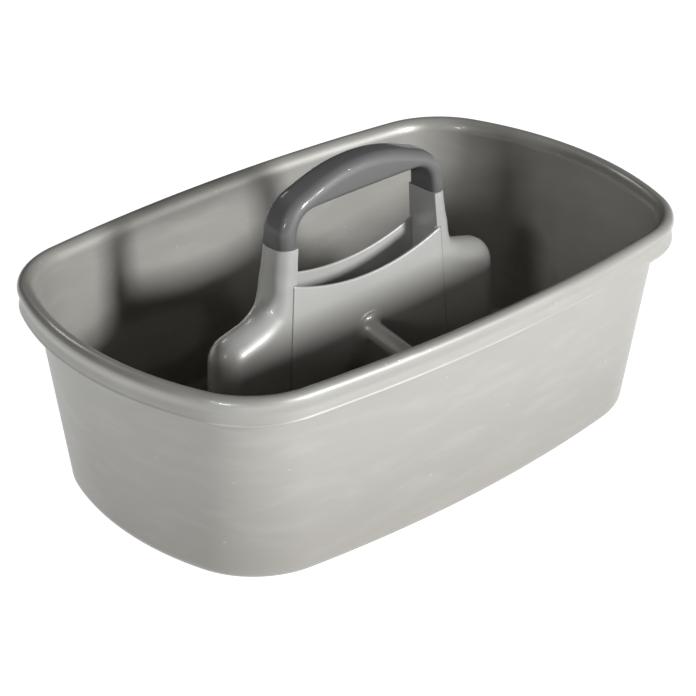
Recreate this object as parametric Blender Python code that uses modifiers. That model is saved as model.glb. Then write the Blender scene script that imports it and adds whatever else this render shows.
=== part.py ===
"""Cleaning caddy: a moulded tub with a central handle tower, two pocket panels, a soft grip and four screws.

Metres, +Z up. X runs along the tub, Y across it, and Z = 0 is the surface that it stands on.
"""

import math

import bmesh
import bpy
from mathutils import Matrix, Vector

MM = 0.001
GAP = 0.3 * MM  # clearance between two pieces that touch

# Tub: a bowed rectangle with round corners, wider at the rim than at the foot
RIM_LENGTH = 400 * MM
RIM_WIDTH = 251 * MM
RIM_END_BOW = 12 * MM  # how far an end bulges past its corners
RIM_SIDE_BOW = 8.5 * MM
RIM_CORNER = 58 * MM
FOOT_LENGTH = 357 * MM
FOOT_WIDTH = 213.6 * MM
FOOT_END_BOW = 6 * MM
FOOT_SIDE_BOW = 8 * MM
FOOT_CORNER = 60 * MM
TUB_HEIGHT = 130.5 * MM
TUB_WALL = 2 * MM
FOOT_FILLET = 6 * MM  # inside the tub
FOOT_RING = 13 * MM  # width of the ring that the tub stands on
FLOOR_STEP = 3 * MM  # how far the floor stands above that ring
FLOOR_SLOPE = 3 * MM  # width of the slope between the two

# Rolled rim: from the inner wall over a dome, in to a waist and out to the skirt's edge
LIP_WIDTH = 11 * MM
LIP_INNER_RADIUS = 3.5 * MM
LIP_OUTER_RADIUS = 4.5 * MM
WAIST_DEPTH = 1.3 * MM
WAIST_DROP = 11 * MM  # below the rim's top
SKIRT_DROP = 16.6 * MM
SKIRT_INSET = 0.2 * MM

# Handle tower: two columns that widen into shoulders, joined by an arch and a base web
GRIP_HEIGHT = 147 * MM  # where the columns end and the grip begins
DEPTH_AT_FLOOR = 32 * MM  # front to back
DEPTH_LOST = 0.0618  # of depth for each unit of height
OPENING_AT_PANEL = 112 * MM  # between the columns, at the height of the panel's ends
OPENING_DRAFT = 0.08  # how much each column's inner face leans
TOWER_WALL = 2 * MM
EDGE_RADIUS = 8 * MM
WEB = 2.5 * MM
SHOULDER_END = (109.5 * MM, 97.2 * MM, 16 * MM)  # corner in X and Z, and its radius
SHOULDER_ROOT = (71.5 * MM, 107.5 * MM, 22 * MM)
SHOULDER_FOOT = 113.3 * MM  # half length of the tower at Z = 0, seen from the front
COLUMN_TOP = 65.94 * MM  # outer half width where the grip begins
COLUMN_HOLLOW_TOP = 138 * MM

# Arch and grip
CROWN_CORNER = (0, 193 * MM, 108 * MM)
ARCH_CORNER = (62.6 * MM, 170.8 * MM, 26 * MM)
HAND_HOLE_TOP = 167.3 * MM
HAND_HOLE_CORNER = 14 * MM
GRIP_THICKNESS = 2 * MM
GRIP_INNER_EDGE = 3.5 * MM  # radius of the edges under the fingers
CORE_PLUG = 7 * MM  # how far the arch reaches down into a column

# Pocket panels: plates let into the columns, each with an arm that keeps bottles apart
PANEL_THICKNESS = 2 * MM
PANEL_PROUD = 0.4 * MM
PANEL_LAP = 2.6 * MM  # over each column's inner edge
PANEL_DIP = 113 * MM  # height of the curved top edge at its middle
PANEL_RISE = 11.5 * MM  # from there to its ends
ARM_RADIUS = 6 * MM
ARM_REACH = 78 * MM  # of its tip from the middle of the tub
ARM_HEIGHT = 77 * MM  # of its axis, at the panel
ARM_SLOPE = 0.19  # how much it falls for each unit of reach
ARM_FLARE = 4.5 * MM

# Screws, from below through the floor into bosses in the shoulders
SCREW_PLACES = {
    "screw_left_outer": -97 * MM,
    "screw_left_inner": -79 * MM,
    "screw_right_inner": 79 * MM,
    "screw_right_outer": 97 * MM,
}
SHANK_RADIUS = 1.8 * MM
SHANK_LENGTH = 19 * MM
HEAD_RADIUS = 3.7 * MM
HEAD_HEIGHT = 2.1 * MM
RECESS_RADIUS = 1.5 * MM  # of the cross recess, corner to corner
RECESS_DEPTH = 1.2 * MM
BOSS_RADIUS = 4 * MM
BOSS_HEIGHT = 26 * MM
RIB = 2 * MM

# Worked out from the sizes above
FLOOR_TOP = TUB_WALL + FLOOR_STEP
TOWER_BASE = FLOOR_TOP + GAP
FAR = 1.0  # beyond everything, for cutters


def collection(name, shown=True):
    made = bpy.data.collections.new(name)
    made.hide_render = not shown
    bpy.context.scene.collection.children.link(made)
    return made


def material(name, colour, roughness, metallic=0.0):
    made = bpy.data.materials.new(name)
    made.use_nodes = True
    shader = made.node_tree.nodes["Principled BSDF"]
    shader.inputs["Base Color"].default_value = (*colour, 1)
    shader.inputs["Roughness"].default_value = roughness
    shader.inputs["Metallic"].default_value = metallic
    return made


def add_object(name, bm, folder, finish=None):
    mesh = bpy.data.meshes.new(name)
    bm.to_mesh(mesh)
    bm.free()
    made = bpy.data.objects.new(name, mesh)
    folder.objects.link(made)
    if finish:
        mesh.materials.append(finish)
    else:
        made.hide_render = True
        made.display_type = "WIRE"
    return made


def boolean(target, operation, other):
    """Adds the Boolean and applies it, so that the next one works on its result."""
    step = target.modifiers.new(other.name, "BOOLEAN")
    step.operation = operation
    step.object = other
    apply_modifiers(target)


def apply_modifiers(target):
    graph = bpy.context.evaluated_depsgraph_get()
    graph.update()
    mesh = bpy.data.meshes.new_from_object(target.evaluated_get(graph))
    target.modifiers.clear()
    target.data = mesh


def smooth(target, angle=35):
    target.data.shade_smooth()
    target.data.set_sharp_from_angle(angle=math.radians(angle))


def bowed_rectangle(half_length, half_width, end_bow, side_bow, corner, steps=(3, 7, 4)):
    """Points round a rectangle whose sides are arcs and whose corners are round, counterclockwise from +X."""
    corner_x = half_length - corner - end_bow
    corner_y = half_width - corner - side_bow
    reach = corner_x**2 + corner_y**2
    end_centre = (reach - (half_length - corner) ** 2) / (2 * end_bow)
    side_centre = (reach - (half_width - corner) ** 2) / (2 * side_bow)
    end_angle = math.atan2(corner_y, corner_x + end_centre)
    side_angle = math.pi / 2 - math.atan2(corner_x, corner_y + side_centre)
    arcs = (
        (-end_centre, 0, half_length + end_centre, 0, end_angle, steps[0]),
        (corner_x, corner_y, corner, end_angle, side_angle, steps[1]),
        (0, -side_centre, half_width + side_centre, side_angle, math.pi / 2, steps[2]),
    )
    quarter = []
    for x, y, radius, start, end, count in arcs:
        for step in range(count):
            angle = start + (end - start) * step / count
            quarter.append((x + radius * math.cos(angle), y + radius * math.sin(angle)))
    top = [(0, half_width)]
    half = quarter + top + [(-x, y) for x, y in reversed(quarter)]
    return half + [(x, -y) for x, y in reversed(half[1:-1])]


def rounded_outline(corners, arc_steps=6):
    """Points of an open outline of (x, z, radius) corners, with an arc where there is a radius."""
    points = [Vector(corners[0][:2])]
    for before, here, after in zip(corners, corners[1:], corners[2:]):
        corner = Vector(here[:2])
        to_last = (Vector(before[:2]) - corner).normalized()
        to_next = (Vector(after[:2]) - corner).normalized()
        half_angle = to_last.angle(to_next) / 2
        if not here[2]:
            points.append(corner)
            continue
        centre = corner + (to_last + to_next).normalized() * here[2] / math.sin(half_angle)
        start = corner + to_last * here[2] / math.tan(half_angle) - centre
        sweep = start.angle_signed(corner + to_next * here[2] / math.tan(half_angle) - centre)
        for step in range(arc_steps + 1):
            points.append(centre + Matrix.Rotation(-sweep * step / arc_steps, 2) @ start)
    points.append(Vector(corners[-1][:2]))
    return points


def loft(rings, cap_start=False, cap_end=False):
    """A skin through rings of equally many points: one circle, extruded from ring to ring."""
    bm = bmesh.new()
    verts = bmesh.ops.create_circle(bm, segments=len(rings[0]), radius=1)["verts"]
    verts.sort(key=lambda vert: vert.index)
    loops = [verts]
    for ring in rings[1:]:
        edges = [edge for edge in bm.edges if all(vert in loops[-1] for vert in edge.verts)]
        made = bmesh.ops.extrude_edge_only(bm, edges=edges)["geom"]
        fresh = {vert for vert in made if isinstance(vert, bmesh.types.BMVert)}
        loops.append(
            [next(e.other_vert(v) for e in v.link_edges if e.other_vert(v) in fresh) for v in loops[-1]]
        )
    for loop, ring in zip(loops, rings):
        for vert, place in zip(loop, ring):
            vert.co = place
    for wanted, loop in ((cap_start, loops[0]), (cap_end, loops[-1])):
        if wanted:
            bmesh.ops.contextual_create(bm, geom=loop)
    bmesh.ops.recalc_face_normals(bm, faces=bm.faces)
    return bm


def cylinder(radius, start, end, segments=20):
    """A cylinder between two points."""
    start, end = Vector(start), Vector(end)
    bm = bmesh.new()
    turn = (end - start).to_track_quat("Z", "Y").to_matrix().to_4x4()
    bmesh.ops.create_cone(
        bm,
        cap_ends=True,
        segments=segments,
        radius1=radius,
        radius2=radius,
        depth=(end - start).length,
        matrix=Matrix.Translation((start + end) / 2) @ turn,
    )
    return bm


def box(low, high):
    low, high = Vector(low), Vector(high)
    bm = bmesh.new()
    place = Matrix.Translation((low + high) / 2) @ Matrix.Diagonal((*(high - low), 1))
    bmesh.ops.create_cube(bm, size=1, matrix=place)
    return bm


def cut_flat(bm, point, normal):
    """Removes what lies on the side that normal points to, and closes the cut."""
    geometry = bm.verts[:] + bm.edges[:] + bm.faces[:]
    cut = bmesh.ops.bisect_plane(
        bm, geom=geometry, dist=1e-7, plane_co=point, plane_no=normal, clear_outer=True
    )
    edges = [item for item in cut["geom_cut"] if isinstance(item, bmesh.types.BMEdge)]
    bmesh.ops.holes_fill(bm, edges=edges)


# --- Tub ---------------------------------------------------------------------------------------


def tub_ring(height_share, inset, z):
    """A level ring of the tub, from the foot's outline (share 0) to the rim's (share 1), moved in by inset."""

    def between(foot, rim):
        return foot + (rim - foot) * height_share

    outline = bowed_rectangle(
        between(FOOT_LENGTH, RIM_LENGTH) / 2 - inset,
        between(FOOT_WIDTH, RIM_WIDTH) / 2 - inset,
        between(FOOT_END_BOW, RIM_END_BOW),
        between(FOOT_SIDE_BOW, RIM_SIDE_BOW),
        between(FOOT_CORNER, RIM_CORNER) - inset,
    )
    return [(x, y, z) for x, y in outline]


def rim_profile():
    """(inset, z) pairs over the rolled rim, from the inner wall to the skirt's edge."""
    inner_centre = (LIP_WIDTH - LIP_INNER_RADIUS, TUB_HEIGHT - LIP_INNER_RADIUS)
    outer_centre = (LIP_OUTER_RADIUS, TUB_HEIGHT - LIP_OUTER_RADIUS)
    steps = 4
    profile = []
    for step in range(steps + 1):
        angle = math.pi / 2 * step / steps
        profile.append(
            (
                inner_centre[0] + LIP_INNER_RADIUS * math.cos(angle),
                inner_centre[1] + LIP_INNER_RADIUS * math.sin(angle),
            )
        )
    for step in range(steps + 1):
        angle = math.pi / 2 * step / steps
        profile.append(
            (
                outer_centre[0] - LIP_OUTER_RADIUS * math.sin(angle),
                outer_centre[1] + LIP_OUTER_RADIUS * math.cos(angle),
            )
        )
    waist_z = TUB_HEIGHT - WAIST_DROP
    profile.append((WAIST_DEPTH / 2, (outer_centre[1] + waist_z) / 2))
    profile.append((WAIST_DEPTH, waist_z))
    profile.append((SKIRT_INSET, TUB_HEIGHT - SKIRT_DROP))
    return profile


def make_tub(parts, cutters, finish):
    rings = [
        tub_ring(0, TUB_WALL + FOOT_FILLET + FOOT_RING + FLOOR_SLOPE, FLOOR_TOP),
        tub_ring(0, TUB_WALL + FOOT_FILLET + FOOT_RING, TUB_WALL),
    ]
    fillet_steps = 3
    for step in range(fillet_steps + 1):
        angle = math.pi / 2 * step / fillet_steps
        rings.append(
            tub_ring(
                0,
                TUB_WALL + FOOT_FILLET * (1 - math.sin(angle)),
                TUB_WALL + FOOT_FILLET * (1 - math.cos(angle)),
            )
        )
    rings += [tub_ring(1, inset, z) for inset, z in rim_profile()]
    bm = loft(rings, cap_start=True)
    floor = max(bm.faces, key=lambda face: face.calc_area())
    if floor.normal.z < 0:
        bmesh.ops.reverse_faces(bm, faces=bm.faces)
    tub = add_object("tub", bm, parts, finish)
    shell = tub.modifiers.new("wall", "SOLIDIFY")
    shell.thickness = TUB_WALL
    shell.offset = -1
    shell.use_even_offset = True
    apply_modifiers(tub)
    for x in SCREW_PLACES.values():
        hole = cylinder(SHANK_RADIUS + GAP, (x, 0, 0), (x, 0, 2 * FLOOR_TOP))
        boolean(tub, "DIFFERENCE", add_object("screw_hole", hole, cutters))
    smooth(tub)
    return tub


# --- Handle tower --------------------------------------------------------------------------------


def depth_at(z):
    """Front to back size of the tower at height z."""
    return DEPTH_AT_FLOOR - DEPTH_LOST * z


def opening_half(z):
    """Half the gap between the columns at height z."""
    return OPENING_AT_PANEL / 2 + OPENING_DRAFT * (PANEL_DIP + PANEL_RISE - z)


def column_outline():
    """The right column and shoulder from the front, as a closed outline that runs past its cuts."""
    inside = OPENING_AT_PANEL / 4
    below = -4 * EDGE_RADIUS
    above = GRIP_HEIGHT + 4 * EDGE_RADIUS
    lean = (SHOULDER_ROOT[0] - COLUMN_TOP) / (GRIP_HEIGHT - SHOULDER_ROOT[1])
    end_slope = (SHOULDER_FOOT - SHOULDER_END[0]) / SHOULDER_END[1]
    return rounded_outline(
        [
            (inside, below, 0),
            (SHOULDER_FOOT - end_slope * below, below, 0),
            SHOULDER_END,
            SHOULDER_ROOT,
            (COLUMN_TOP - lean * (above - GRIP_HEIGHT), above, 0),
            (inside, above, 0),
        ]
    )


def column_solid(name, inset, low, high, inner_face, cutters):
    """The right column with rounded edges, shrunk by inset, cut flat at its base, top and inner face."""
    curve = bpy.data.curves.new(name, "CURVE")
    curve.dimensions = "2D"
    curve.fill_mode = "BOTH"
    curve.bevel_depth = EDGE_RADIUS - inset
    curve.bevel_resolution = 3
    curve.extrude = depth_at(GRIP_HEIGHT) / 2 - EDGE_RADIUS
    curve.offset = -EDGE_RADIUS
    spline = curve.splines.new("POLY")
    outline = column_outline()
    spline.points.add(len(outline) - 1)
    for point, place in zip(spline.points, outline):
        point.co = (*place, 0, 1)
    spline.use_cyclic_u = True
    guide = bpy.data.objects.new(name, curve)
    cutters.objects.link(guide)
    bpy.context.view_layer.update()
    graph = bpy.context.evaluated_depsgraph_get()
    mesh = bpy.data.meshes.new_from_object(guide.evaluated_get(graph))
    bpy.data.objects.remove(guide)
    bm = bmesh.new()
    bm.from_mesh(mesh)
    bmesh.ops.remove_doubles(bm, verts=bm.verts, dist=1e-6)
    bmesh.ops.rotate(bm, verts=bm.verts, matrix=Matrix.Rotation(math.pi / 2, 3, "X"))
    for vert in bm.verts:
        vert.co.y *= depth_at(vert.co.z) / depth_at(GRIP_HEIGHT)
    cut_flat(bm, (0, 0, low), (0, 0, -1))
    cut_flat(bm, (0, 0, high), (0, 0, 1))
    cut_flat(bm, (opening_half(0) + inner_face, 0, 0), (-1, 0, -OPENING_DRAFT))
    bmesh.ops.recalc_face_normals(bm, faces=bm.faces)
    return bm


def arch_stations(corner_steps=6, crown_steps=4):
    """Pairs of points on the arch's outer and inner outlines, from the right column's top to the left's."""
    lean = (ARCH_CORNER[0] - COLUMN_TOP) / (ARCH_CORNER[1] - GRIP_HEIGHT)
    foot = (COLUMN_TOP - lean * CORE_PLUG, GRIP_HEIGHT - CORE_PLUG, 0)
    outer = rounded_outline([foot, ARCH_CORNER, (0, CROWN_CORNER[1], 0)], corner_steps)[:-1]
    hand_corner = (opening_half(HAND_HOLE_TOP), HAND_HOLE_TOP, HAND_HOLE_CORNER)
    inner_foot = (opening_half(foot[1]), foot[1], 0)
    inner = rounded_outline([inner_foot, hand_corner, (0, HAND_HOLE_TOP, 0)], corner_steps)[:-1]
    crown_start = outer[-1].x
    crown_radius = CROWN_CORNER[2]
    slope = (CROWN_CORNER[1] - ARCH_CORNER[1]) / ARCH_CORNER[0]
    crown_top = CROWN_CORNER[1] - crown_radius * (math.hypot(1, slope) - 1)
    crown_edge = crown_radius * slope / math.hypot(1, slope)

    def crown_z(x):
        if x > crown_edge:
            return CROWN_CORNER[1] - slope * x
        return crown_top - crown_radius + math.sqrt(crown_radius**2 - x**2)

    pairs = []
    start_out = Vector((opening_lean(GRIP_HEIGHT, lean), GRIP_HEIGHT))
    start_in = Vector((opening_half(GRIP_HEIGHT), GRIP_HEIGHT))
    pairs.append((outer[0], inner[0]))
    pairs.append((start_out, start_in))
    pairs += list(zip(outer[1:], inner[1:]))
    for step in range(1, crown_steps + 1):
        share = 1 - step / crown_steps
        x_out = crown_start * share
        pairs.append((Vector((x_out, crown_z(x_out))), Vector((inner[-1].x * share, HAND_HOLE_TOP))))
    left = [(Vector((-a.x, a.y)), Vector((-b.x, b.y))) for a, b in reversed(pairs[:-1])]
    return pairs + left


def opening_lean(z, lean):
    """The column's outer half width at height z."""
    return COLUMN_TOP + lean * (z - GRIP_HEIGHT)


def arch_ring(outer, inner, inset, corner_steps=4):
    """One section of the arch between its outlines, moved in by inset; its outer edges are rounder."""
    middle = (outer + inner) / 2
    across = (outer - inner).normalized()
    half_height = (outer - inner).length / 2 - inset
    half_depth = depth_at(middle.y) / 2 - inset
    ring = []
    for corner in range(4):
        out = 1 if corner in (0, 3) else -1
        back = 1 if corner in (0, 1) else -1
        radius = (EDGE_RADIUS if out > 0 else GRIP_INNER_EDGE) - inset
        for step in range(corner_steps + 1):
            share = step / corner_steps
            if out * back < 0:
                share = 1 - share
            angle = math.pi / 2 * share
            up = out * (half_height - radius + radius * math.cos(angle))
            y = back * (half_depth - radius + radius * math.sin(angle))
            place = middle + across * up
            ring.append((place.x, y, place.y))
    return ring


def arch_loft(inset, stations):
    return loft([arch_ring(outer, inner, inset) for outer, inner in stations], True, True)


def make_tower(parts, cutters, finish):
    tower = add_object("handle_tower", arch_loft(GRIP_THICKNESS + GAP, arch_stations()), parts, finish)
    web = box(
        (-opening_half(0) - TOWER_WALL, -depth_at(0) / 2 + 2 * PANEL_THICKNESS, TOWER_BASE),
        (opening_half(0) + TOWER_WALL, depth_at(0) / 2 - 2 * PANEL_THICKNESS, TOWER_BASE + WEB),
    )
    base = add_object("web", web, cutters)
    for side in (1, -1):
        column = column_with_bosses(side, cutters)
        boolean(base, "UNION", column)
    boolean(tower, "UNION", base)
    for side in (-1, 1):
        boolean(tower, "DIFFERENCE", add_object("rebate", rebate(side), cutters))
    smooth(tower)
    return tower


def column_with_bosses(side, cutters):
    """One hollow column: its shell, then a boss and a rib for each of its screws."""
    shell = add_object("column", column_solid("column", 0, TOWER_BASE, GRIP_HEIGHT, 0, cutters), cutters)
    hollow = column_solid("hollow", TOWER_WALL, TOWER_BASE - FAR, COLUMN_HOLLOW_TOP, TOWER_WALL, cutters)
    boolean(shell, "DIFFERENCE", add_object("hollow", hollow, cutters))
    for x in (x for x in SCREW_PLACES.values() if x > 0):
        top = TOWER_BASE + BOSS_HEIGHT
        wide = depth_at(top) / 2 - TOWER_WALL / 2
        rib = box((x - RIB / 2, -wide, TOWER_BASE), (x + RIB / 2, wide, top))
        boss = cylinder(BOSS_RADIUS, (x, 0, TOWER_BASE), (x, 0, top))
        pilot = cylinder(SHANK_RADIUS + GAP, (x, 0, TOWER_BASE - FAR), (x, 0, top - RIB))
        boolean(shell, "UNION", add_object("rib", rib, cutters))
        boolean(shell, "UNION", add_object("boss", boss, cutters))
        boolean(shell, "DIFFERENCE", add_object("pilot", pilot, cutters))
    if side < 0:
        shell.data.transform(Matrix.Rotation(math.pi, 4, "Z"))
    return shell


# --- Pocket panels -------------------------------------------------------------------------------


def panel_outline(clearance, top_clearance):
    """The panel seen from the front: leaning side edges and a top edge that dips in the middle."""
    steps = 12
    end_z = PANEL_DIP + PANEL_RISE
    end_x = opening_half(end_z) + PANEL_LAP + clearance
    base_z = TOWER_BASE - clearance
    base_x = opening_half(base_z) + PANEL_LAP + clearance
    outline = [(-base_x, base_z), (base_x, base_z)]
    for step in range(steps + 1):
        x = end_x * (1 - 2 * step / steps)
        outline.append((x, PANEL_DIP + PANEL_RISE * (x / end_x) ** 2 + top_clearance))
    return outline


def panel_plate(outline, side, face, back):
    """A plate between two distances from the tower's own leaning face, measured outwards."""

    def ring(distance):
        return [(x, side * (depth_at(z) / 2 + distance), z) for x, z in outline]

    return loft([ring(face), ring(back)], True, True)


def rebate(side):
    """Where a panel is let into the columns: its outline with a clearance, and open to the outside."""
    return panel_plate(panel_outline(GAP, GAP), side, EDGE_RADIUS, PANEL_PROUD - PANEL_THICKNESS - GAP)


def arm_profile():
    """(reach, radius) pairs from the panel to the tip: a flared root, a straight stretch and a domed end."""
    root = depth_at(ARM_HEIGHT) / 2
    steps = 5
    turns = [math.pi / 2 * step / steps for step in range(steps + 1)]
    profile = [(root - PANEL_THICKNESS / 2, ARM_RADIUS + ARM_FLARE)]
    for turn in turns:
        radius = ARM_RADIUS + ARM_FLARE * (1 - math.sin(turn))
        profile.append((root + ARM_FLARE * (1 - math.cos(turn)), radius))
    for turn in turns[:-1]:
        profile.append((ARM_REACH - ARM_RADIUS * (1 - math.sin(turn)), ARM_RADIUS * math.cos(turn)))
    return profile


def arm_skin(side):
    """The arm of the front panel (side -1) or the back one (side 1), which falls slightly on its way out."""
    segments = 24
    root = depth_at(ARM_HEIGHT) / 2
    fall = math.atan(ARM_SLOPE)
    rings = []
    for reach, radius in arm_profile():
        middle = Vector((0, side * reach, ARM_HEIGHT - ARM_SLOPE * (reach - root)))
        # The root stands square to the panel and the rest square to the arm
        tilt = fall * min(max((reach - root) / ARM_FLARE, 0), 1)
        ring = []
        for step in range(segments):
            angle = 2 * math.pi * step / segments
            up = radius * math.sin(angle)
            across = radius * math.cos(angle)
            ring.append(middle + Vector((across, side * up * math.sin(tilt), up * math.cos(tilt))))
        rings.append(ring)
    return loft(rings, True, True)


def make_panel(name, side, parts, cutters, finish):
    plate = panel_plate(panel_outline(0, 0), side, PANEL_PROUD, PANEL_PROUD - PANEL_THICKNESS)
    panel = add_object(name, plate, parts, finish)
    boolean(panel, "UNION", add_object("arm", arm_skin(side), cutters))
    smooth(panel)
    return panel


# --- Grip and screws -----------------------------------------------------------------------------


def make_grip(parts, cutters, finish):
    """The sleeve from one column's top over the arch to the other's, flush with both."""
    lift = Vector((0, GAP))
    stations = arch_stations()[1:-1]
    for end in (0, -1):
        stations[end] = [point + lift for point in stations[end]]
    outside = [arch_ring(outer, inner, 0) for outer, inner in stations]
    inside = [arch_ring(outer, inner, GRIP_THICKNESS) for outer, inner in stations]
    sleeve = loft(outside + inside[::-1])
    bmesh.ops.bridge_loops(sleeve, edges=[edge for edge in sleeve.edges if edge.is_boundary])
    bmesh.ops.recalc_face_normals(sleeve, faces=sleeve.faces)
    grip = add_object("grip", sleeve, parts, finish)
    smooth(grip)
    return grip


def make_screw(name, x, parts, cutters, finish):
    """A pan-head screw with a cross recess; its head bears on the floor's underside."""
    seat = FLOOR_STEP - GAP
    head_bottom = seat - HEAD_HEIGHT
    screw = add_object(name, cylinder(HEAD_RADIUS, (x, 0, head_bottom), (x, 0, seat), 24), parts, finish)
    round_head = screw.modifiers.new("head", "BEVEL")
    round_head.width = HEAD_HEIGHT / 3
    round_head.segments = 2
    round_head.limit_method = "ANGLE"
    apply_modifiers(screw)
    shank = cylinder(SHANK_RADIUS, (x, 0, head_bottom + RECESS_DEPTH + GAP), (x, 0, seat + SHANK_LENGTH), 16)
    boolean(screw, "UNION", add_object("shank", shank, cutters))
    for long_x, long_y in ((1, 0.25), (0.25, 1)):
        half = Vector((RECESS_RADIUS * long_x, RECESS_RADIUS * long_y, 0))
        slot = box(
            Vector((x, 0, head_bottom - RECESS_DEPTH)) - half,
            Vector((x, 0, head_bottom + RECESS_DEPTH)) + half,
        )
        boolean(screw, "DIFFERENCE", add_object("recess", slot, cutters))
    smooth(screw)
    return screw


def main():
    for old in list(bpy.data.objects):
        bpy.data.objects.remove(old)
    parts = collection("cleaning_caddy")
    cutters = collection("cutters", shown=False)
    grey = material("silver_grey_plastic", (0.52, 0.53, 0.51), 0.38)
    dark = material("dark_grey_soft_grip", (0.16, 0.16, 0.17), 0.42)
    steel = material("screw_steel", (0.6, 0.6, 0.6), 0.3, 1.0)
    make_tub(parts, cutters, grey)
    make_tower(parts, cutters, grey)
    make_panel("front_panel", -1, parts, cutters, grey)
    make_panel("back_panel", 1, parts, cutters, grey)
    make_grip(parts, cutters, dark)
    for name, x in SCREW_PLACES.items():
        make_screw(name, x, parts, cutters, steel)


main()
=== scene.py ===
import math

import bmesh
import bpy
from mathutils import Matrix, Vector


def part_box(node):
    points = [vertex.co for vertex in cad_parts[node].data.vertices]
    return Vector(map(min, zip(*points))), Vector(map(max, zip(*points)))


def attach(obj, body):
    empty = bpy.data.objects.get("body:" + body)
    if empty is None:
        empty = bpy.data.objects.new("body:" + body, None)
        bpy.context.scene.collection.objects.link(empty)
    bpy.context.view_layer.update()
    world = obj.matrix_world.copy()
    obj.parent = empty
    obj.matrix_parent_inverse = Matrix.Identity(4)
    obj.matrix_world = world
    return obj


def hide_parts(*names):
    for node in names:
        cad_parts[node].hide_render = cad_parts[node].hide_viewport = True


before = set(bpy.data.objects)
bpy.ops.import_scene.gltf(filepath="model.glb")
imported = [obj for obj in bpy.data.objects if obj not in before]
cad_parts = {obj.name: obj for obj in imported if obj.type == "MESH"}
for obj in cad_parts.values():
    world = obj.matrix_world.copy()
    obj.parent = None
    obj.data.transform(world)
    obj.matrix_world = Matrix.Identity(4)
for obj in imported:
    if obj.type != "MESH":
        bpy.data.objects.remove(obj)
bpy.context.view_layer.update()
mm = 0.001


# outlines and rings

def lerp(a, b, share):
    return a + (b - a) * share


def smoothStep(share):
    share = min(max(share, 0.0), 1.0)
    return share * share * (3 - 2 * share)


def arcPoints(centre, radii, startDegrees, endDegrees, steps):
    points = []
    for step in range(steps + 1):
        angle = math.radians(lerp(startDegrees, endDegrees, step / steps))
        points.append((centre[0] + radii[0] * math.cos(angle), centre[1] + radii[1] * math.sin(angle)))
    return points


def filletPath(corners, arcSteps):
    # corners are (x, z, radius); a corner with no radius stays sharp
    path = [Vector(corners[0][:2])]
    for before, here, after in zip(corners, corners[1:], corners[2:]):
        corner = Vector(here[:2])
        toLast = (Vector(before[:2]) - corner).normalized()
        toNext = (Vector(after[:2]) - corner).normalized()
        half = toLast.angle(toNext) / 2
        centre = corner + (toLast + toNext).normalized() * here[2] / math.sin(half)
        start = corner + toLast * here[2] / math.tan(half) - centre
        sweep = start.angle_signed(corner + toNext * here[2] / math.tan(half) - centre)
        for step in range(arcSteps + 1):
            path.append(centre + Matrix.Rotation(-sweep * step / arcSteps, 2) @ start)
    path.append(Vector(corners[-1][:2]))
    return path


def evenPath(path, longest):
    # adds points on stretches that are longer than this
    dense = [path[0]]
    for point in path[1:]:
        pieces = max(1, math.ceil((point - dense[-1]).length / longest))
        start = dense[-1]
        dense += [start.lerp(point, (piece + 1) / pieces) for piece in range(pieces)]
    return dense


def ringEdges(ring):
    # in a fixed order, so that each run builds the same mesh
    inRing = set(ring)
    edges = (edge for vert in ring for edge in vert.link_edges if edge.other_vert(vert) in inRing)
    return list(dict.fromkeys(edges))


def sweepRings(rings):
    # one circle is shaped into the first ring, then extruded from ring to ring and closed at both ends
    bm = bmesh.new()
    first = bmesh.ops.create_circle(bm, segments=len(rings[0]), radius=1.0)["verts"]
    placeRing(first, rings[0])
    ring = first
    for places in rings[1:]:
        grown = set(bmesh.ops.extrude_edge_only(bm, edges=ringEdges(ring))["geom"])
        ring = [next(e.other_vert(v) for e in v.link_edges if e.other_vert(v) in grown) for v in ring]
        placeRing(ring, places)
    for end in (first, ring):
        bmesh.ops.edgeloop_fill(bm, edges=ringEdges(end))
    bmesh.ops.recalc_face_normals(bm, faces=bm.faces)
    return bm


def placeRing(ring, places):
    for vert, place in zip(ring, places):
        vert.co = place


def roundSharpEdges(bm, width, segments, angle):
    bm.normal_update()
    sharp = [e for e in bm.edges if e.is_manifold and e.calc_face_angle() > math.radians(angle)]
    bmesh.ops.bevel(bm, geom=sharp, offset=width, offset_type="OFFSET", affect="EDGES",
                    segments=segments, profile=0.5, material=-1, clamp_overlap=True)


def addPiece(name, bm, material, sharpAngle=40):
    mesh = bpy.data.meshes.new(name)
    bm.to_mesh(mesh)
    bm.free()
    mesh.shade_smooth()
    mesh.set_sharp_from_angle(angle=math.radians(sharpAngle))
    piece = bpy.data.objects.new(name, mesh)
    bpy.context.scene.collection.objects.link(piece)
    mesh.materials.append(material)
    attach(piece, "root")
    return piece


# shader nodes and groups

def newGroup(name, inputs, outputs):
    group = bpy.data.node_groups.new(name, "ShaderNodeTree")
    for label, kind, value in inputs:
        socket = group.interface.new_socket(label, in_out="INPUT", socket_type=kind)
        if value is not None:
            socket.default_value = value
    for label, kind in outputs:
        group.interface.new_socket(label, in_out="OUTPUT", socket_type=kind)
    return group, group.nodes.new("NodeGroupInput"), group.nodes.new("NodeGroupOutput")


def feed(tree, socket, value):
    if isinstance(value, bpy.types.NodeSocket):
        tree.links.new(value, socket)
    else:
        socket.default_value = value


def addNode(tree, kind, links=None, **settings):
    # links maps an input's name or number to a socket or a plain value
    node = tree.nodes.new(kind)
    for name, value in settings.items():
        setattr(node, name, value)
    for key, value in (links or {}).items():
        feed(tree, node.inputs[key], value)
    return node


def addGroup(tree, group, **values):
    return addNode(tree, "ShaderNodeGroup", values, node_tree=group)


def addMaths(tree, operation, first, second):
    return addNode(tree, "ShaderNodeMath", {0: first, 1: second}, operation=operation).outputs[0]


def mixColour(tree, factor, first, second):
    return addNode(tree, "ShaderNodeMix", {0: factor, 6: first, 7: second}, data_type="RGBA").outputs[2]


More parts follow.
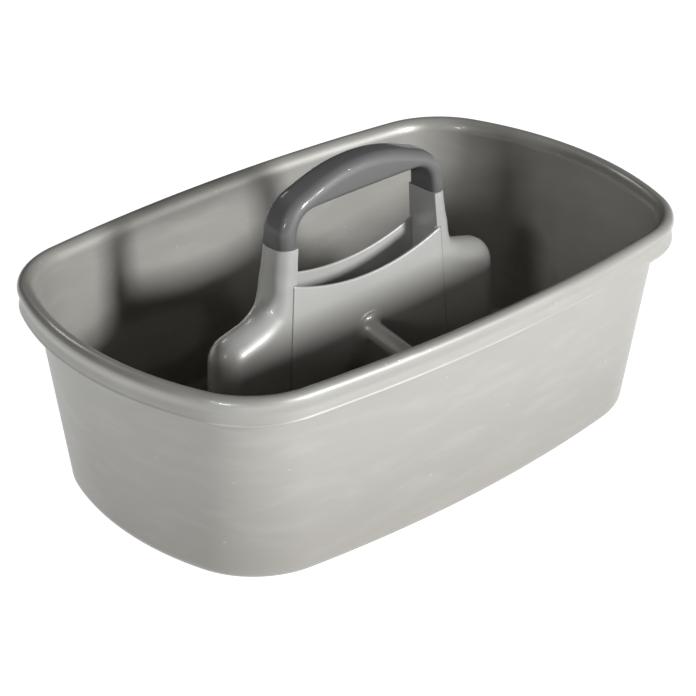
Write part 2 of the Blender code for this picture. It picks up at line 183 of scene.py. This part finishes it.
flowLook = {
    "warpScale": 9.0,
    "warpReach": (0.03, 0.03, 0.03),
    "turn": (0.0, 0.62, 0.0),          # the streaks lean up from the gate
    "stretch": (26.0, 26.0, 110.0),
    "streakFrom": 0.42,
    "streakTo": 0.72,
    "cloudScale": 13.0,
}


def makeFlowMarks():
    # faint streaks that the melt leaves as it runs from the gate to the rim
    group, given, put = newGroup(
        "flowMarks",
        [("Vector", "NodeSocketVector", None)],
        [("Streaks", "NodeSocketFloat"), ("Clouds", "NodeSocketFloat")],
    )
    place = given.outputs["Vector"]
    warp = addNode(group, "ShaderNodeTexNoise", {
        "Vector": place, "Scale": flowLook["warpScale"], "Detail": 2.0})
    bend = addNode(group, "ShaderNodeVectorMath", {0: warp.outputs["Color"], 1: flowLook["warpReach"]},
                   operation="MULTIPLY")
    moved = addNode(group, "ShaderNodeVectorMath", {0: place, 1: bend.outputs[0]}, operation="ADD")
    turned = addNode(group, "ShaderNodeMapping", {
        "Vector": moved.outputs[0], "Rotation": flowLook["turn"], "Scale": flowLook["stretch"]})
    streaks = addNode(group, "ShaderNodeTexNoise", {
        "Vector": turned.outputs[0], "Scale": 1.0, "Detail": 4.0, "Roughness": 0.55})
    shaped = addNode(group, "ShaderNodeMapRange", {
        "Value": streaks.outputs["Fac"],
        "From Min": flowLook["streakFrom"], "From Max": flowLook["streakTo"]},
        interpolation_type="SMOOTHSTEP")
    clouds = addNode(group, "ShaderNodeTexNoise", {
        "Vector": place, "Scale": flowLook["cloudScale"], "Detail": 5.0, "Roughness": 0.6})
    group.links.new(shaped.outputs[0], put.inputs["Streaks"])
    group.links.new(clouds.outputs["Fac"], put.inputs["Clouds"])
    return group


speckLook = {"edge": 0.16, "core": 0.08}      # of a cell, where a speck starts and where it is full


def makeDustSpecks():
    # tiny pale specks and nicks, thinly scattered
    group, given, put = newGroup(
        "dustSpecks",
        [("Vector", "NodeSocketVector", None), ("Scale", "NodeSocketFloat", 160.0),
         ("Amount", "NodeSocketFloat", 0.2)],
        [("Specks", "NodeSocketFloat")],
    )
    cells = addNode(group, "ShaderNodeTexVoronoi", {
        "Vector": given.outputs["Vector"], "Scale": given.outputs["Scale"]})
    dots = addNode(group, "ShaderNodeMapRange", {
        "Value": cells.outputs["Distance"], "From Min": speckLook["edge"], "From Max": speckLook["core"]})
    pick = addNode(group, "ShaderNodeSeparateColor", {0: cells.outputs["Color"]})
    chosen = addMaths(group, "LESS_THAN", pick.outputs[0], given.outputs["Amount"])
    group.links.new(addMaths(group, "MULTIPLY", dots.outputs[0], chosen), put.inputs["Specks"])
    return group


skinLook = {"waveScale": 24.0}


def makeMouldSkin():
    # the slight waviness and fine texture of a moulded surface, as a height
    group, given, put = newGroup(
        "mouldSkin",
        [("Vector", "NodeSocketVector", None), ("Grain", "NodeSocketFloat", 900.0),
         ("Waviness", "NodeSocketFloat", 0.5)],
        [("Height", "NodeSocketFloat")],
    )
    place = given.outputs["Vector"]
    grain = addNode(group, "ShaderNodeTexNoise", {
        "Vector": place, "Scale": given.outputs["Grain"], "Detail": 3.0})
    waves = addNode(group, "ShaderNodeTexNoise", {
        "Vector": place, "Scale": skinLook["waveScale"], "Detail": 1.0})
    wavy = addMaths(group, "MULTIPLY", waves.outputs["Fac"], given.outputs["Waviness"])
    group.links.new(addMaths(group, "ADD", grain.outputs["Fac"], wavy), put.inputs["Height"])
    return group


def startMaterial(name):
    material = bpy.data.materials.new(name)
    material.use_nodes = True
    tree = material.node_tree
    shader = tree.nodes["Principled BSDF"]
    coordinates = tree.nodes.new("ShaderNodeTexCoord").outputs["Object"]
    return material, tree, shader, coordinates


def finishSurface(tree, shader, look, mask, height):
    # the mask sets how rough the surface is, the height sets its bumps
    rough = addNode(tree, "ShaderNodeMapRange", {
        "Value": mask, "From Min": look["maskLow"], "From Max": look["maskHigh"],
        "To Min": look["roughLow"], "To Max": look["roughHigh"]})
    bump = addNode(tree, "ShaderNodeBump", {
        "Height": height, "Strength": look["bump"], "Distance": look["bumpHeight"]})
    tree.links.new(rough.outputs[0], shader.inputs["Roughness"])
    tree.links.new(bump.outputs[0], shader.inputs["Normal"])
    shader.inputs["Metallic"].default_value = look["metallic"]
    shader.inputs["Coat Weight"].default_value = look["coat"]
    shader.inputs["Coat Roughness"].default_value = look["coatRoughness"]


# finishes

flowMarks = makeFlowMarks()
dustSpecks = makeDustSpecks()
mouldSkin = makeMouldSkin()

tubFinish = {
    "colour": (0.385, 0.38, 0.355, 1),
    "streakColour": (0.47, 0.47, 0.45, 1),
    "streaks": 0.35,
    # the specks and the painted highlight on the skirt's lower edge both take this colour
    "speckColour": (0.80, 0.80, 0.78, 1),
    "speckScale": 170.0,
    "speckAmount": 0.05,
    "wearAndHighlight": 0.26,
    # painted shade: this warm dark colour is mixed in towards the bottom, standing in for the shade low
    # in the tub and on the tower
    "paintedShadeColour": (0.20, 0.18, 0.15, 1),
    "paintedShadeLow": 5 * mm,
    "paintedShadeHigh": 95 * mm,
    "unshadedLow": 0.62,                  # how much of its own colour stays low down, under the painted shade
    "grain": 1100.0,
    "waviness": 0.9,
    "maskLow": 0.3,
    "maskHigh": 0.7,
    "roughLow": 0.36,
    "roughHigh": 0.46,
    "bump": 0.06,
    "bumpHeight": 0.6 * mm,
    "metallic": 0.22,
    "coat": 0.5,
    "coatRoughness": 0.05,
}
# painted light: the tower uses the tub's plastic made paler, standing in for the extra light that falls
# on the tower
towerPaintedLightFinish = dict(tubFinish, colour=(0.54, 0.54, 0.525, 1), streakColour=(0.60, 0.60, 0.59, 1),
                   # the tower's painted shade starts higher and goes much darker at the bottom
                   paintedShadeLow=30 * mm, paintedShadeHigh=118 * mm, unshadedLow=0.08)


def makeSilverPlastic(name, look):
    material, tree, shader, place = startMaterial(name)
    marks = addGroup(tree, flowMarks, Vector=place)
    specks = addGroup(tree, dustSpecks, Vector=place,
                      Scale=look["speckScale"], Amount=look["speckAmount"])
    skin = addGroup(tree, mouldSkin, Vector=place, Grain=look["grain"], Waviness=look["waviness"])
    faint = addMaths(tree, "MULTIPLY", marks.outputs["Streaks"], look["streaks"])
    streaked = mixColour(tree, faint, look["colour"], look["streakColour"])
    # painted shade: the colour darkens towards the bottom of each piece, by height
    height = addNode(tree, "ShaderNodeSeparateXYZ", {0: place}).outputs[2]
    unshaded = addNode(tree, "ShaderNodeMapRange", {
        "Value": height, "From Min": look["paintedShadeLow"], "From Max": look["paintedShadeHigh"],
        "To Min": look["unshadedLow"]}, interpolation_type="SMOOTHSTEP")
    paintedShaded = mixColour(tree, unshaded.outputs[0], look["paintedShadeColour"], streaked)
    # only the tub's skirt has this attribute: a painted highlight along its lower edge, pale in waves
    paintedHighlight = addNode(tree, "ShaderNodeAttribute", attribute_name="paintedHighlighted")
    pale = addMaths(tree, "MAXIMUM", specks.outputs["Specks"], paintedHighlight.outputs["Fac"])
    wornAndHighlighted = addMaths(tree, "MULTIPLY", pale, look["wearAndHighlight"])
    tree.links.new(mixColour(tree, wornAndHighlighted, paintedShaded, look["speckColour"]), shader.inputs["Base Color"])
    finishSurface(tree, shader, look, marks.outputs["Clouds"], skin.outputs["Height"])
    return material


gripFinish = {
    "colour": (0.125, 0.125, 0.128, 1),
    "rubbedColour": (0.160, 0.160, 0.162, 1),
    "grain": 1500.0,
    "waviness": 0.4,
    "maskLow": 0.3,
    "maskHigh": 0.7,
    "roughLow": 0.42,
    "roughHigh": 0.54,
    "bump": 0.08,
    "bumpHeight": 0.4 * mm,
    "metallic": 0.0,
    "coat": 0.4,
    "coatRoughness": 0.04,
}


def makeSoftGrip():
    look = gripFinish
    material, tree, shader, place = startMaterial("softGrip")
    marks = addGroup(tree, flowMarks, Vector=place)
    skin = addGroup(tree, mouldSkin, Vector=place, Grain=look["grain"], Waviness=look["waviness"])
    tree.links.new(mixColour(tree, marks.outputs["Clouds"], look["colour"], look["rubbedColour"]),
                   shader.inputs["Base Color"])
    finishSurface(tree, shader, look, marks.outputs["Clouds"], skin.outputs["Height"])
    return material


screwFinish = {
    "colour": (0.58, 0.58, 0.57, 1),
    "speckColour": (0.42, 0.41, 0.38, 1),
    "speckScale": 900.0,
    "speckAmount": 0.3,
    "grain": 4000.0,
    "waviness": 0.0,
    "maskLow": 0.0,
    "maskHigh": 1.0,
    "roughLow": 0.22,
    "roughHigh": 0.42,
    "bump": 0.1,
    "bumpHeight": 0.1 * mm,
    "metallic": 1.0,
    "coat": 0.0,
    "coatRoughness": 0.03,
}


def makeScrewSteel():
    look = screwFinish
    material, tree, shader, place = startMaterial("screwSteel")
    specks = addGroup(tree, dustSpecks, Vector=place,
                      Scale=look["speckScale"], Amount=look["speckAmount"])
    skin = addGroup(tree, mouldSkin, Vector=place, Grain=look["grain"], Waviness=look["waviness"])
    tree.links.new(mixColour(tree, specks.outputs["Specks"], look["colour"], look["speckColour"]),
                   shader.inputs["Base Color"])
    finishSurface(tree, shader, look, skin.outputs["Height"], skin.outputs["Height"])
    return material


tubSilver = makeSilverPlastic("tubSilver", tubFinish)
towerPaintedLightSilver = makeSilverPlastic("towerPaintedLightSilver", towerPaintedLightFinish)
softGrip = makeSoftGrip()
screwSteel = makeScrewSteel()
print("materials ready")


tubLow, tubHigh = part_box("tub")
tubSize = {
    "rim": (tubHigh.x, tubHigh.y, 12 * mm, 8.5 * mm, 58 * mm),     # half length, half width, bows, corner
    "foot": (178.5 * mm, 106.8 * mm, 6 * mm, 8 * mm, 60 * mm),
    "top": tubHigh.z,
    "wall": 2 * mm,
    "wallRows": 12,
    "segments": (10, 26, 24),          # along an end, a corner and a side, in each quarter
    "lipWidth": 11 * mm,
    "lipCrest": 4.5 * mm,              # from the outermost line
    "lipDrop": 9 * mm,                 # of the inner curve
    "lipEnd": 208,                     # degrees round to where the skirt begins
    "footFillet": 8 * mm,
    "footRing": 13 * mm,
    # in from the outermost line and down from the top, in mm
    "skirt": [(0.95, 8.0), (1.25, 9.0), (1.32, 9.9), (1.15, 11.0), (0.9, 12.4), (0.72, 14.0),
              (0.65, 14.8), (0.42, 15.2), (0.3, 15.7), (0.38, 16.3), (0.75, 16.6), (1.3, 16.6),
              (1.8, 16.4), (2.05, 15.9), (2.2, 14.0), (2.5, 11.0), (3.0, 8.2), (4.2, 6.2),
              (5.8, 5.6), (7.3, 6.3), (8.3, 7.6)],
    "paintedHighlightedRow": 7,                   # of the skirt, its lower edge, which gets a painted highlight
    "paintedHighlightMean": 0.6,
    "paintedHighlightSwing": 0.4,
    "paintedHighlightWaves": (90, 140),
    # in from the foot ring and up, in mm, above and below the raised floor
    "floorAbove": [(4.0, 3.0), (3.4, 3.0), (2.7, 2.6), (0.4, 0.3), (-0.6, 0.0)],
    "floorBelow": [(-0.8, 0.0), (0.0, 0.2), (2.6, 2.8), (3.4, 3.0), (4.0, 3.0)],
}


def bowedOutline(halfLength, halfWidth, endBow, sideBow, corner, segments):
    cornerX = halfLength - corner - endBow
    cornerY = halfWidth - corner - sideBow
    reach = cornerX ** 2 + cornerY ** 2
    endBack = (reach - (halfLength - corner) ** 2) / (2 * endBow)
    sideBack = (reach - (halfWidth - corner) ** 2) / (2 * sideBow)
    endAngle = math.degrees(math.atan2(cornerY, cornerX + endBack))
    sideAngle = 90 - math.degrees(math.atan2(cornerX, cornerY + sideBack))
    endRadius = halfLength + endBack
    sideRadius = halfWidth + sideBack
    quarter = arcPoints((-endBack, 0), (endRadius, endRadius), 0, endAngle, segments[0])
    quarter += arcPoints((cornerX, cornerY), (corner, corner), endAngle, sideAngle, segments[1])[1:]
    quarter += arcPoints((0, -sideBack), (sideRadius, sideRadius), sideAngle, 90, segments[2])[1:]
    half = quarter + [(-x, y) for x, y in reversed(quarter[:-1])]
    return half + [(x, -y) for x, y in reversed(half[1:-1])]


def tubRing(share, inset, z):
    # share runs from the foot's outline, 0, to the rim's, 1
    size = [lerp(foot, rim, share) for foot, rim in zip(tubSize["foot"], tubSize["rim"])]
    outline = bowedOutline(size[0] - inset, size[1] - inset, size[2], size[3], size[4] - inset,
                           tubSize["segments"])
    return [(x, y, z) for x, y in outline]


def tubWall(outside):
    # (share, inset, z) up one face of the drafted wall
    size = tubSize
    high = size["top"] - size["lipDrop"]
    insetLow = 0.0 if outside else size["wall"]
    insetHigh = size["lipWidth"] - (size["wall"] if outside else 0.0)
    shares = [row / size["wallRows"] for row in range(size["wallRows"] + 1)]
    return [(share, lerp(insetLow, insetHigh, share), lerp(size["footFillet"], high, share))
            for share in shares]


# painted highlight: a pale line along the skirt's lower edge, stronger and fainter in waves
def markPaintedHighlighted(bm, row, length):
    # the points of a ring stand together, in the order in which the rings were swept
    layer = bm.verts.layers.float.new("paintedHighlighted")
    bm.verts.ensure_lookup_table()
    alongX, alongY = tubSize["paintedHighlightWaves"]
    for vert in bm.verts[row * length:(row + 1) * length]:
        wave = math.sin(vert.co.x * alongX + vert.co.y * alongY)
        vert[layer] = tubSize["paintedHighlightMean"] + tubSize["paintedHighlightSwing"] * wave


def makeTub():
    size = tubSize
    top, wall, fillet, crest = size["top"], size["wall"], size["footFillet"], size["lipCrest"]
    ring = fillet + size["footRing"]
    thin = fillet - wall
    inner = (size["lipWidth"] - crest, size["lipDrop"])
    steps = [(0, ring + inset * mm, wall + up * mm) for inset, up in size["floorAbove"]]
    steps += [(0, inset, z) for inset, z in arcPoints((fillet, fillet), (thin, thin), -90, -180, 10)]
    steps += tubWall(False)[1:]
    steps += [(1, inset, z) for inset, z in arcPoints((crest, top - inner[1]), inner, 0, 90, 12)[1:]]
    steps += [(1, inset, z) for inset, z in
              arcPoints((crest, top - crest), (crest, crest), 90, size["lipEnd"], 14)[1:]]
    paintedHighlightedRow = len(steps) + size["paintedHighlightedRow"]
    steps += [(1, inset * mm, top - drop * mm) for inset, drop in size["skirt"]]
    steps += reversed(tubWall(True))
    steps += [(0, inset, z) for inset, z in
              arcPoints((fillet, fillet), (fillet, fillet), 180, 270, 10)[1:]]
    steps += [(0, ring + inset * mm, up * mm) for inset, up in size["floorBelow"]]
    rings = [tubRing(*step) for step in steps]
    bm = sweepRings(rings)
    markPaintedHighlighted(bm, paintedHighlightedRow, len(rings[0]))
    tub = addPiece("tubMoulding", bm, tubSilver)
    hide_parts("tub")


makeTub()
print("tub done")


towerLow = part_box("handle_tower")[0]
towerSize = {
    "base": towerLow.z,
    "jointHeight": 147 * mm,           # where the columns end and the grip begins
    "depthAtFloor": 32 * mm,
    "depthLost": 0.0618,               # of depth for each unit of height
    "openingHalf": 56 * mm,            # at the height of the panels' ends
    "openingDraft": 0.08,
    "columnTop": 65.94 * mm,
    "shoulderEnd": (109.5 * mm, 97.2 * mm, 16 * mm),
    "shoulderRoot": (71.5 * mm, 107.5 * mm, 22 * mm),
    "shoulderFoot": 113.3 * mm,
    "legRadius": 8.5 * mm,
    "shoulderRadius": 12.5 * mm,
    "radiusFrom": 100 * mm,            # the shoulder's radius up to here
    "radiusOver": 30 * mm,             # and the leg's this much higher
    "stripLow": 5.6 * mm,              # flat strip that stays beside the opening
    "stripHigh": 2.6 * mm,
    "stripFrom": 125 * mm,
    "stripOver": 12 * mm,
    "sheetInset": 1 * mm,              # where the flat face begins
    "middleGap": 0.4 * mm,
    "edge": [(0.45, 0.0), (0.225, 0.06), (0.06, 0.225), (0.0, 0.45)],     # a rounded edge, in mm
    "shelf": 1.1,                      # of the face before that edge, in mm
    "innerRun": 3.0,                   # of the inner side behind it, in mm
    "web": 2.5 * mm,
    "webBack": 3 * mm,                 # from each face
    "webLap": 0.5 * mm,                # into each column
    "samePlace": 0.001 * mm,           # points closer than this become one
}


panelSize = {
    "thickness": 2 * mm,
    "proud": 0.35 * mm,
    "lap": 2.6 * mm,
    "clear": 0.3 * mm,
    "end": 124.5 * mm,                 # how high its two ends stand
    "dip": 113 * mm,
    "rise": 11.5 * mm,
    "stations": 48,
    "rows": (30 * mm, 60 * mm, 90 * mm),
    "edge": 0.3 * mm,                  # radius of its edges
    "armHeight": 77 * mm,
    "armSlope": 0.19,
    "armRadius": 6 * mm,
    "armFlare": 5 * mm,
    "armReach": 78 * mm,
    "armSegments": 48,
    "armOverlap": (0.4 * mm, 0.5 * mm),     # of its root: into the panel, and wider than the flare
}


def halfDepth(z):
    return (towerSize["depthAtFloor"] - towerSize["depthLost"] * z) / 2


def openingHalf(z):
    return towerSize["openingHalf"] + towerSize["openingDraft"] * (panelSize["end"] - z)


def columnOutline():
    # up the outer side of the right column, seen from the front
    size = towerSize
    endSlope = (size["shoulderFoot"] - size["shoulderEnd"][0]) / size["shoulderEnd"][1]
    foot = (size["shoulderFoot"] - endSlope * size["base"], size["base"], 0)
    head = (size["columnTop"], size["jointHeight"], 0)
    return evenPath(filletPath([foot, size["shoulderEnd"], size["shoulderRoot"], head], 18), 4 * mm)


def outwardNormals(path):
    normals = []
    for index, point in enumerate(path):
        along = path[min(index + 1, len(path) - 1)] - path[max(index - 1, 0)]
        normals.append(Vector((along.y, -along.x)).normalized())
    return normals


def openingSide(rebated):
    # (across from the opening, back from the face) through a column's front edge, rebated or not
    edge = towerSize["edge"]
    side = (panelSize["lap"] + panelSize["clear"]) / mm if rebated else 0.0
    deep = (panelSize["thickness"] - panelSize["proud"] + panelSize["clear"]) / mm
    steps = [(side + towerSize["shelf"], 0.0)]
    steps += [(side + across, back) for across, back in edge] + [(side, deep)]
    steps += [(across if rebated else 0.0, deep + back) for across, back in edge]
    return [(across * mm, back * mm) for across, back in steps + [(0.0, deep + towerSize["innerRun"])]]


def columnRadius(x, z):
    # less where the column is narrow, so that a flat strip stays beside the opening
    size = towerSize
    wanted = lerp(size["shoulderRadius"], size["legRadius"],
                  smoothStep((z - size["radiusFrom"]) / size["radiusOver"]))
    strip = lerp(size["stripLow"], size["stripHigh"],
                 smoothStep((z - size["stripFrom"]) / size["stripOver"]))
    return min(wanted, x - openingHalf(z) - strip)


def columnRing(path, normals, turn, level, front):
    # one sheet of the column, level by level from its face to its middle
    size = towerSize
    ledge = panelSize["end"] + panelSize["clear"]
    inset = size["sheetInset"] if level == 0 else 0
    places = []
    for point, normal in zip(path, normals):
        radius = columnRadius(point.x, point.y)
        spot = point - normal * (radius * (1 - math.sin(turn)) + inset)
        spot.y = min(max(spot.y, size["base"]), size["jointHeight"])
        rounding = min(radius * 1.1, halfDepth(spot.y) - size["middleGap"])
        places.append((spot.x, -front * (halfDepth(spot.y) - rounding * (1 - math.cos(turn))), spot.y))
    legSteps = [(lerp(size["jointHeight"], ledge, step / 5), False) for step in range(6)]
    legSteps += [(lerp(ledge - 0.02 * mm, size["base"], step / 20), True) for step in range(21)]
    for z, rebated in legSteps:
        across, back = (openingSide(rebated) + [(0.0, halfDepth(z) - size["middleGap"])])[level]
        places.append((openingHalf(z) + across, -front * (halfDepth(z) - back), z))
    return places


def makeColumn():
    path = columnOutline()
    normals = outwardNormals(path)
    normals[0] = Vector((1, 0))
    normals[-1] = Vector((1, 0))
    turns = [0.0] + [math.radians(90 * step / 10) for step in range(11)]
    levels = [(turn, level, 1) for level, turn in enumerate(turns)]
    levels += [(turn, level, -1) for turn, level, front in reversed(levels)]
    return sweepRings([columnRing(path, normals, *level) for level in levels])


def makeTower():
    base, thick = towerSize["base"], towerSize["web"]
    column = makeColumn()
    bmesh.ops.mirror(column, geom=column.verts[:] + column.edges[:] + column.faces[:],
                     axis="X", merge_dist=-1)
    web = bmesh.ops.create_cube(column, size=1.0)["verts"]
    wide, deep = openingHalf(base) + towerSize["webLap"], halfDepth(0) - towerSize["webBack"]
    bmesh.ops.scale(column, verts=web, vec=(2 * wide, 2 * deep, thick))
    bmesh.ops.translate(column, verts=web, vec=(0, 0, base + thick / 2))
    # above the rebate two points of each level fall together
    bmesh.ops.remove_doubles(column, verts=column.verts, dist=towerSize["samePlace"])
    bmesh.ops.recalc_face_normals(column, faces=column.faces)
    tower = addPiece("handleTower", column, towerPaintedLightSilver, 35)
    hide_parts("handle_tower")


def panelTop(share):
    return panelSize["dip"] + panelSize["rise"] * share ** 2


def makePanelPlate(front):
    rings = []
    half = panelSize["thickness"] / 2
    for station in range(panelSize["stations"] + 1):
        share = lerp(-1, 1, station / panelSize["stations"])
        top = panelTop(share)
        rounding = [(half * math.cos(math.radians(turn)), half * math.sin(math.radians(turn)))
                    for turn in range(0, 181, 20)]
        rows = [towerSize["base"], *panelSize["rows"]]
        profile = [(half, z) for z in rows]
        profile += [(out, top - half + up) for out, up in rounding]
        profile += [(-half, z) for z in reversed(rows)]
        places = []
        for out, z in profile:
            x = share * (openingHalf(z) + panelSize["lap"])
            places.append((x, -front * (halfDepth(z) + panelSize["proud"] - half + out), z))
        rings.append(places)
    plate = sweepRings(rings)
    roundSharpEdges(plate, panelSize["edge"], 2, 60)
    return plate


def armProfile():
    # (distance from the tub's middle, radius) from the panel out to the domed tip
    root = halfDepth(panelSize["armHeight"]) + panelSize["proud"]
    flare, radius = panelSize["armFlare"], panelSize["armRadius"]
    sunk, spread = panelSize["armOverlap"]
    profile = [(root - sunk, radius + flare + spread)]
    profile += [(root + out, radius + wide) for out, wide in
                arcPoints((flare, flare), (flare, flare), 180, 270, 12)]
    tip = panelSize["armReach"] - radius
    profile += [(lerp(root + flare, tip, step / 8), radius) for step in range(1, 8)]
    return profile + arcPoints((tip, 0), (radius, radius), 90, 6, 10)


def makeArm(front):
    segments, slope = panelSize["armSegments"], panelSize["armSlope"]
    fall = math.atan(slope)
    root = halfDepth(panelSize["armHeight"])
    rings = []
    for reach, radius in armProfile():
        middle = Vector((0, -front * reach, panelSize["armHeight"] - slope * (reach - root)))
        # square to the panel, then square to the arm
        tilt = fall * smoothStep((reach - root) / panelSize["armFlare"])
        places = []
        for segment in range(segments):
            angle = 2 * math.pi * segment / segments
            side, up = radius * math.cos(angle), radius * math.sin(angle)
            places.append(middle + Vector((side, -front * up * math.sin(tilt), up * math.cos(tilt))))
        rings.append(places)
    return sweepRings(rings)


def makePanel(name, node, front):
    panel = makePanelPlate(front)
    arm = makeArm(front)
    mesh = bpy.data.meshes.new("work")
    arm.to_mesh(mesh)
    arm.free()
    panel.from_mesh(mesh)
    bpy.data.meshes.remove(mesh)
    piece = addPiece(name, panel, towerPaintedLightSilver, 35)
    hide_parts(node)


makeTower()
makePanel("frontPocketPanel", "front_panel", 1)
makePanel("backPocketPanel", "back_panel", -1)
print("tower and panels done")


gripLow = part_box("grip")[0]
gripSize = {
    "crownCorner": (0, 193 * mm, 108 * mm),
    "archCorner": (62.6 * mm, 170.8 * mm, 26 * mm),
    "handTop": 167.3 * mm,
    "handCorner": 14 * mm,
    "outerRadius": 6.6 * mm,
    "innerRadius": 3.6 * mm,
    "bendSteps": 20,
    "crownSteps": 16,
    "cornerSteps": 8,
    "end": gripLow.z,
    "endRound": [(0.5, 0.0), (0.14, 0.12), (0.0, 0.45)],     # inset and rise of the sleeve's ends, in mm
}


def archPairs():
    # matching points on the outer and inner outlines, from the right column's top to the left's
    size = gripSize
    joint = towerSize["jointHeight"]
    lean = (size["archCorner"][0] - towerSize["columnTop"]) / (size["archCorner"][1] - joint)
    foot = (towerSize["columnTop"] + lean * (size["end"] - joint), size["end"], 0)
    outer = filletPath([foot, size["archCorner"], (0, size["crownCorner"][1], 0)], size["bendSteps"])[:-1]
    innerFoot = (openingHalf(foot[1]), foot[1], 0)
    handCorner = (openingHalf(size["handTop"]), size["handTop"], size["handCorner"])
    inner = filletPath([innerFoot, handCorner, (0, size["handTop"], 0)], size["bendSteps"])[:-1]
    slope = (size["crownCorner"][1] - size["archCorner"][1]) / size["archCorner"][0]
    radius = size["crownCorner"][2]
    crownEdge = radius * slope / math.hypot(1, slope)
    crownTop = size["crownCorner"][1] - radius * (math.hypot(1, slope) - 1)
    pairs = list(zip(outer, inner))
    for step in range(1, size["crownSteps"] + 1):
        share = 1 - step / size["crownSteps"]
        x = outer[-1].x * share
        z = size["crownCorner"][1] - slope * x
        if x <= crownEdge:
            z = crownTop - radius + math.sqrt(radius ** 2 - x ** 2)
        pairs.append((Vector((x, z)), Vector((inner[-1].x * share, size["handTop"]))))
    return pairs + [(Vector((-a.x, a.y)), Vector((-b.x, b.y))) for a, b in reversed(pairs[:-1])]


def gripSection(outer, inner, inset):
    middle = (outer + inner) / 2
    across = (outer - inner).normalized()
    tall = (outer - inner).length / 2 - inset
    deep = halfDepth(middle.y) - inset
    places = []
    for out, back in ((1, 1), (-1, 1), (-1, -1), (1, -1)):
        radius = gripSize["outerRadius"] if out > 0 else gripSize["innerRadius"]
        turns = arcPoints((0, 0), (1, 1), 0, 90, gripSize["cornerSteps"])
        if out * back < 0:
            turns.reverse()
        for up, side in turns:
            spot = middle + across * out * (tall - radius + radius * up)
            places.append((spot.x, back * (deep - radius + radius * side), spot.y))
    return places


def makeGrip():
    pairs = archPairs()
    ends = gripSize["endRound"]
    first, last = ([gripSection(*(point + Vector((0, rise * mm)) for point in pair), inset * mm)
                    for inset, rise in ends] for pair in (pairs[0], pairs[-1]))
    rings = first + [gripSection(*pair, 0) for pair in pairs[1:-1]] + last[::-1]
    grip = addPiece("gripSleeve", sweepRings(rings), softGrip)
    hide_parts("grip")


makeGrip()
for name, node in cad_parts.items():
    if name.startswith("screw"):
        node.data.materials.clear()
        node.data.materials.append(screwSteel)
print("grip and screws done")


studio = {
    "cameraPlace": (-0.7925, -0.8597, 0.7041),
    "cameraAim": (0.5908, 0.6456, -0.4840),
    "lens": 114.0,
    "floorHalf": 6.0,
    "floorDrop": 0.3 * mm,
    "lightCentre": (0, 0, 0.1),
    "floorColour": (0.30, 0.30, 0.30, 1),
    "floorGlow": 0.98,                 # as the camera sees it
    "floorBounce": 0.72,               # the light that it gives the caddy
    "backdrop": (0.95, 0.95, 0.95, 1),     # as the camera sees it
    "ceiling": (0.014, 0.012, 0.009, 1),   # dark enough to keep the tub's inside dark
}

# name: direction round from +X and up, in degrees, distance, size and power
softboxes = {
    "key": (-74, 19, 2.4, (0.40, 0.52), 64),
    "leftFill": (-158, 18, 2.1, (0.40, 0.26), 8.5),
    "leftWindow": (-172, 33, 2.0, (0.09, 0.05), 1.5),
    "backWindow": (-53, 37, 2.2, (0.09, 0.05), 2.2),
    "backFill": (90, 40, 2.2, (0.60, 0.30), 3.0),
}


def addSoftbox(name, around, up, distance, size, power):
    light = bpy.data.lights.new(name, "AREA")
    light.shape = "RECTANGLE"
    light.size, light.size_y = size
    light.energy = power
    lamp = bpy.data.objects.new(name, light)
    around, up = math.radians(around), math.radians(up)
    away = Vector((math.cos(up) * math.cos(around), math.cos(up) * math.sin(around), math.sin(up)))
    lamp.location = Vector(studio["lightCentre"]) + away * distance
    lamp.rotation_euler = away.to_track_quat("Z", "Y").to_euler()
    bpy.context.scene.collection.objects.link(lamp)


def makeFloor():
    bm = bmesh.new()
    bmesh.ops.create_grid(bm, x_segments=1, y_segments=1, size=studio["floorHalf"])
    bmesh.ops.translate(bm, verts=bm.verts, vec=(0, 0, -studio["floorDrop"]))
    mesh = bpy.data.meshes.new("floor")
    bm.to_mesh(mesh)
    bm.free()
    floor = bpy.data.objects.new("floor", mesh)
    bpy.context.scene.collection.objects.link(floor)
    paper = bpy.data.materials.new("paperFloor")
    paper.use_nodes = True
    tree = paper.node_tree
    shader = tree.nodes["Principled BSDF"]
    shader.inputs["Base Color"].default_value = studio["floorColour"]
    shader.inputs["Roughness"].default_value = 0.95
    shader.inputs["Specular IOR Level"].default_value = 0.1
    shader.inputs["Emission Color"].default_value = (1, 1, 1, 1)
    seen = tree.nodes.new("ShaderNodeLightPath").outputs["Is Camera Ray"]
    glow = addNode(tree, "ShaderNodeMapRange", {
        "Value": seen, "To Min": studio["floorBounce"], "To Max": studio["floorGlow"]})
    tree.links.new(glow.outputs[0], shader.inputs["Emission Strength"])
    # clear from below, so that the underside shows
    clear = tree.nodes.new("ShaderNodeBsdfTransparent")
    below = tree.nodes.new("ShaderNodeNewGeometry").outputs["Backfacing"]
    sides = addNode(tree, "ShaderNodeMixShader", {0: below, 1: shader.outputs[0], 2: clear.outputs[0]})
    tree.links.new(sides.outputs[0], tree.nodes["Material Output"].inputs["Surface"])
    mesh.materials.append(paper)


def makeWorld():
    # the camera sees a pale backdrop, while the light comes from a dark ceiling
    world = bpy.data.worlds.new("studio")
    world.use_nodes = True
    tree = world.node_tree
    seen = tree.nodes.new("ShaderNodeLightPath").outputs["Is Camera Ray"]
    tree.links.new(mixColour(tree, seen, studio["ceiling"], studio["backdrop"]),
                   tree.nodes["Background"].inputs["Color"])
    bpy.context.scene.world = world


def makeCamera():
    camera = bpy.data.objects.new("camera", bpy.data.cameras.new("camera"))
    camera.data.lens = studio["lens"]
    camera.data.sensor_width = 36
    camera.location = studio["cameraPlace"]
    camera.rotation_euler = Vector(studio["cameraAim"]).to_track_quat("-Z", "Y").to_euler()
    bpy.context.scene.collection.objects.link(camera)
    bpy.context.scene.camera = camera


def makeStudio():
    makeFloor()
    makeWorld()
    for name, settings in softboxes.items():
        addSoftbox(name, *settings)
    makeCamera()
    bpy.context.scene.view_settings.view_transform = "Standard"


makeStudio()
print("studio done")
